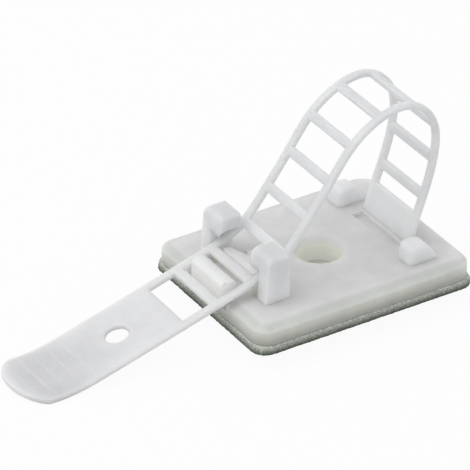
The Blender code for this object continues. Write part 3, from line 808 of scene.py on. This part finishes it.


# %% [markdown]
# ## Natural nylon
# The moulding is nylon 66 without pigment, injected hot into a steel mould. Its own colour is
# nearly white, with faint clouds where the melt flowed. Where it lies over the foam it takes a
# little of the foam's olive grey, most at the lower edge. A ramp over height gives that, because
# the foam lies flat under the whole plate. The same ramp holds painted shade: the plate's side and
# slope are darker than its top's field, and the strap high up is a little darker too. It also
# paints light on the finger tab, which lies low.

# %% Tint and painted shading of the nylon
PLATE_REACH = 13.1 * MM


def nylon_tint_and_painted_shading(tree, coordinates, spot, on_field):
    """Clouds times a colour by level, with painted shade and light in the ramp. The level of a
    point is its height as a share, but never below that of the top's field, and on the tab never
    below that of the strap over the plate, which paints light on the tab."""
    # the clouds are 2.6 mm across, and a noise scale is in waves per metre
    clouds = add_node(tree, "ShaderNodeTexNoise", Vector=coordinates, Scale=380.0, Detail=3.0,
                      Roughness=0.55)
    shade = add_node(tree, "ShaderNodeValToRGB", {"stops": ((0.3, "#E1E2E4"), (0.7, "#EDEEF0"))},
                     Fac=clouds)
    rise = add_node(tree, "ShaderNodeMapRange", Value=spot.outputs["Z"], From_Min=0.9 * MM,
                    From_Max=8.0 * MM)
    # painted light: on the finger tab the level is kept up, so the low tab is coloured lighter
    tab = add_node(tree, "ShaderNodeMapRange", Value=within(tree, spot, PLATE_REACH), To_Min=0.45,
                   To_Max=0.0)
    field = add_node(tree, "ShaderNodeMath", {"operation": "MULTIPLY"}, i0=on_field, i1=0.29)
    level = add_node(tree, "ShaderNodeMath", {"operation": "MAXIMUM"}, i0=rise, i1=tab)
    level = add_node(tree, "ShaderNodeMath", {"operation": "MAXIMUM"}, i0=level, i1=field)
    # the two ends of the ramp, then the stops between them: side, slope, top, strap; side and slope
    # are painted shade with the foam's olive tint low down, and the strap's stop is painted shade
    foam_tint_and_painted_shading = add_node(tree, "ShaderNodeValToRGB", {"stops": (
        (0.0, "#F2F3EA"), (1.0, "#E2E3E4"), (0.05, "#D3D4C8"), (0.14, "#DFE0D6"),
        (0.22, "#E0E1DA"), (0.265, "#DFE0DC"), (0.29, "#EFEEEC"), (0.34, "#FAFAFA"),
        (0.58, "#F6F6F6"))}, Fac=level)
    return add_node(tree, "ShaderNodeMix", {"data_type": "RGBA", "blend_type": "MULTIPLY"},
                    Factor=1.0, i6=shade, i7=foam_tint_and_painted_shading).outputs[2]


# %% [markdown]
# ## Light in the hollows
# A hollow in milky plastic fills with light that comes through its walls. A surface shader carries
# too little of it, so the screw hole, the groove, the slots and what stands in the catch get a
# lighter colour and a faint light of their own. Two masks find them by their place in the model.

# %% Hollows of the nylon
CATCH_HALF_WIDTH = 3.3 * MM


def light_in_hollows(tree, spot, on_field, colour_with_painted_shading):
    """The colour, with hollows lighter than the tint, and the strength of their light. One mask is
    what lies under the top's field, the other what stands low between plate and strap at the catch.
    Each is a product of limits, and its light grows with depth."""
    along, height = spot.outputs["X"], spot.outputs["Z"]
    times, largest = {"operation": "MULTIPLY"}, {"operation": "MAXIMUM"}
    below = add_node(tree, "ShaderNodeMapRange", Value=height, From_Min=2.7 * MM, From_Max=1.9 * MM)
    sunk = add_node(tree, "ShaderNodeMath", times, i0=below, i1=on_field)
    low = add_node(tree, "ShaderNodeMapRange", Value=height, From_Min=5.2 * MM, From_Max=3.8 * MM,
                   To_Max=0.9)
    left = add_node(tree, "ShaderNodeMapRange", Value=along, From_Min=-5.0 * MM, From_Max=-5.6 * MM)
    raised = add_node(tree, "ShaderNodeMath", {"operation": "GREATER_THAN"}, i0=height, i1=2.4 * MM)
    catch = within(tree, spot, PLATE_REACH, CATCH_HALF_WIDTH)
    for limit in (low, left, raised):
        catch = add_node(tree, "ShaderNodeMath", times, i0=catch, i1=limit)
    hollow = add_node(tree, "ShaderNodeMath", largest, i0=sunk, i1=catch)
    lit = add_node(tree, "ShaderNodeMix", {"data_type": "RGBA"}, Factor=sunk, i6=linear("#EEEEEB"),
                   i7=linear("#F0F0E7")).outputs[2]
    colour = add_node(tree, "ShaderNodeMix", {"data_type": "RGBA"}, Factor=hollow, i6=colour_with_painted_shading,
                      i7=lit).outputs[2]
    depth = add_node(tree, "ShaderNodeMapRange", Value=height, From_Min=1.6 * MM, From_Max=0.2 * MM,
                     To_Min=0.05, To_Max=0.27)
    between = add_node(tree, "ShaderNodeMapRange", Value=height, From_Min=4.2 * MM,
                       From_Max=3.0 * MM, To_Min=0.02, To_Max=0.08)
    glow_below = add_node(tree, "ShaderNodeMath", times, i0=sunk, i1=depth)
    glow_between = add_node(tree, "ShaderNodeMath", times, i0=catch, i1=between)
    return colour, add_node(tree, "ShaderNodeMath", largest, i0=glow_below, i1=glow_between)


# %% [markdown]
# ## The nylon's body and face
# Light goes a few millimetres into nylon and comes out again elsewhere, so it looks milky and the
# shadows on it are soft. Subsurface scattering in the shader does that, over three millimetres.
# The mould gave it a satin face: half rough, with a fine grain.

# %% Natural nylon
def natural_nylon():
    """Scattering plastic whose colour goes by clouds, height and hollows."""
    material, tree, output = new_material("natural_nylon_66_moulded")
    coordinates = add_node(tree, "ShaderNodeTexCoord").outputs["Object"]
    spot = add_node(tree, "ShaderNodeSeparateXYZ", Vector=coordinates)
    on_field = within(tree, spot, FIELD_HALF_LENGTH, FIELD_HALF_WIDTH)
    colour_with_painted_shading = nylon_tint_and_painted_shading(tree, coordinates, spot, on_field)
    colour, glow = light_in_hollows(tree, spot, on_field, colour_with_painted_shading)
    # the grain is finer than the picture shows, and is drawn 0.4 mm across so that it shows
    grain = add_node(tree, "ShaderNodeTexNoise", Vector=coordinates, Scale=2600.0, Detail=2.0)
    bump = add_node(tree, "ShaderNodeBump", Strength=0.22, Distance=0.04 * MM, Height=grain)
    shader = add_node(tree, "ShaderNodeBsdfPrincipled", Base_Color=colour, Roughness=0.42, IOR=1.53,
                      Subsurface_Weight=1.0, Subsurface_Scale=3.0 * MM,
                      Subsurface_Radius=(1.0, 1.0, 0.95), Emission_Color=linear("#F0F0E7"),
                      Emission_Strength=glow, Normal=bump)
    tree.links.new(shader.outputs["BSDF"], output.inputs["Surface"])
    return material


# %% [markdown]
# ## Foam tape
# The pad is grey-green closed-cell foam with adhesive on both faces, cut out by a die. The cut
# opens the cells, which gives a speckled, matt rim: noise for the flecks, a cell pattern for the
# dents. A ramp over height paints light on the rim's upper part, as the nylon over it lends it,
# and paints its lowest edge dark: painted shade there, with a darker liner. The faces with the
# adhesive are paler and even: their own colour, and painted light on the hole's floor, which lies
# in shade.

# %% Foam tape
STICKY_HALF_LENGTH, STICKY_HALF_WIDTH = 12.4 * MM, 9.8 * MM


def foam_tape():
    """Matt, speckled, darker towards its lower edge. Cells are 0.2 mm across, flecks 0.15 mm."""
    material, tree, output = new_material("grey_green_foam_tape_die_cut")
    coordinates = add_node(tree, "ShaderNodeTexCoord").outputs["Object"]
    spot = add_node(tree, "ShaderNodeSeparateXYZ", Vector=coordinates)
    cells = add_node(tree, "ShaderNodeTexVoronoi", Vector=coordinates, Scale=5200.0)
    flecks = add_node(tree, "ShaderNodeTexNoise", Vector=coordinates, Scale=6500.0, Detail=3.0,
                      Roughness=0.7)
    speckled = add_node(tree, "ShaderNodeValToRGB",
                        {"stops": ((0.38, "#969B92"), (0.62, "#D6DAD0"))}, Fac=flecks)
    rise = add_node(tree, "ShaderNodeMapRange", Value=spot.outputs["Z"], From_Min=0.0,
                    From_Max=0.8 * MM)
    # painted light on the rim's upper part and painted shade at its lowest edge, which also has a
    # darker liner
    depth = add_node(tree, "ShaderNodeValToRGB",
                     {"stops": ((0.0, "#4C514D"), (1.0, "#FFFFFF"), (0.35, "#8E938C"))}, Fac=rise)
    rim = add_node(tree, "ShaderNodeMix", {"data_type": "RGBA", "blend_type": "MULTIPLY"},
                   Factor=1.0, i6=speckled, i7=depth).outputs[2]
    # the adhesive faces' own paler colour, which also paints light on the hole's floor where it
    # lies in shade
    adhesive_and_painted_floor_light = within(tree, spot, STICKY_HALF_LENGTH, STICKY_HALF_WIDTH)
    colour = add_node(tree, "ShaderNodeMix", {"data_type": "RGBA"}, Factor=adhesive_and_painted_floor_light, i6=rim,
                      i7=linear("#C2C4BA")).outputs[2]
    bump = add_node(tree, "ShaderNodeBump", Strength=0.6, Distance=0.08 * MM, Height=cells)
    shader = add_node(tree, "ShaderNodeBsdfPrincipled", Base_Color=colour, Roughness=0.95,
                      Normal=bump)
    tree.links.new(shader.outputs["BSDF"], output.inputs["Surface"])
    return material


for piece, material in ((moulding, natural_nylon()), (pad, foam_tape())):
    piece.data.materials.clear()
    piece.data.materials.append(material)
    print(piece.name, "is of", material.name, "with", len(material.node_tree.nodes), "nodes")

# %% [markdown]
# ## Floor and light
# A plain pale floor lies just under the lowest point. The surround lights the piece evenly from
# all sides, as a white tent does, one broad soft lamp from the left and behind models its forms,
# and a weak one from the front opens the near faces. The picture stands on white, so camera,
# mirror and glass rays find the surround white and the floor nearly so. The rest of the floor's
# look is the shade it catches.

# %% Floor, surround and lamps
FLOOR_GAP, FLOOR_HALF = 0.05, 400
FLOOR_GREY, FLOOR_WHITENESS, SURROUND_LEVEL = "#E8E8E8", 0.94, 0.71
LAMP_TARGET = np.array([-0.008, 0.0, 0.006])
WHITE = (1, 1, 1, 1)


def seen_directly(tree):
    """1 for the rays of the camera, of mirrors and of glass, 0 for those that light the piece."""
    rays = add_node(tree, "ShaderNodeLightPath").outputs
    seen = rays["Is Camera Ray"]
    for kind in ("Is Glossy Ray", "Is Transmission Ray"):
        seen = add_node(tree, "ShaderNodeMath", {"operation": "MAXIMUM"}, i0=seen, i1=rays[kind])
    return seen


floor_level = cad_box[0].z / MM - FLOOR_GAP
floor = mesh_from("floor", [(-FLOOR_HALF, -FLOOR_HALF, floor_level),
                            (FLOOR_HALF, -FLOOR_HALF, floor_level),
                            (FLOOR_HALF, FLOOR_HALF, floor_level),
                            (-FLOOR_HALF, FLOOR_HALF, floor_level)], [(0, 1, 2, 3)])
floor_material, tree, output = new_material("pale_floor")
matt = add_node(tree, "ShaderNodeBsdfDiffuse", Color=linear(FLOOR_GREY))
white = add_node(tree, "ShaderNodeEmission", Color=WHITE, Strength=1.0)
share = add_node(tree, "ShaderNodeMath", {"operation": "MULTIPLY"}, i0=seen_directly(tree),
                 i1=FLOOR_WHITENESS)
mixed = add_node(tree, "ShaderNodeMixShader", Fac=share, i1=matt, i2=white)
tree.links.new(mixed.outputs["Shader"], output.inputs["Surface"])
floor.data.materials.append(floor_material)

world = bpy.data.worlds.new("surround")
scene.world = world
world.use_nodes = True
tree = world.node_tree
tree.nodes.clear()
strength = add_node(tree, "ShaderNodeMapRange", Value=seen_directly(tree), To_Min=SURROUND_LEVEL,
                    To_Max=1.0)
surround = add_node(tree, "ShaderNodeBackground", Color=WHITE, Strength=strength)
add_node(tree, "ShaderNodeOutputWorld", Surface=surround)


def soft_lamp(name, position, size, power):
    """A square area lamp whose back points away from the target, so that it faces the piece."""
    data = bpy.data.lights.new(name, "AREA")
    data.size = size
    data.energy = power
    lamp = bpy.data.objects.new(name, data)
    scene.collection.objects.link(lamp)
    spot = np.array(position, float)
    back = (spot - LAMP_TARGET) / np.linalg.norm(spot - LAMP_TARGET)
    side = np.cross([0, 0, 1], back)
    side /= np.linalg.norm(side)
    over = np.cross(back, side)
    turned = [[side[k], over[k], back[k], spot[k]] for k in range(3)]
    lamp.matrix_world = Matrix(turned + [[0, 0, 0, 1]])
    print(name, round(float(np.linalg.norm(spot - LAMP_TARGET)), 2), "m away,", power, "W")


soft_lamp("broad_lamp", (-0.28, 0.15, 0.50), size=0.45, power=1.15)
soft_lamp("front_lamp", (0.10, -0.50, 0.30), size=0.40, power=0.1)
scene.view_settings.view_transform = "Standard"

# %% [markdown]
# ## Tie the pieces to the imported model
# Both pieces belong to the one body and stand for the imported solids.

# %% Ride and replace
for piece, node, finish_name in ((moulding, "mount_moulding", "nylon"), (pad, "foam_pad", "foam")):
    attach(piece, "root")
    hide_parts(node)
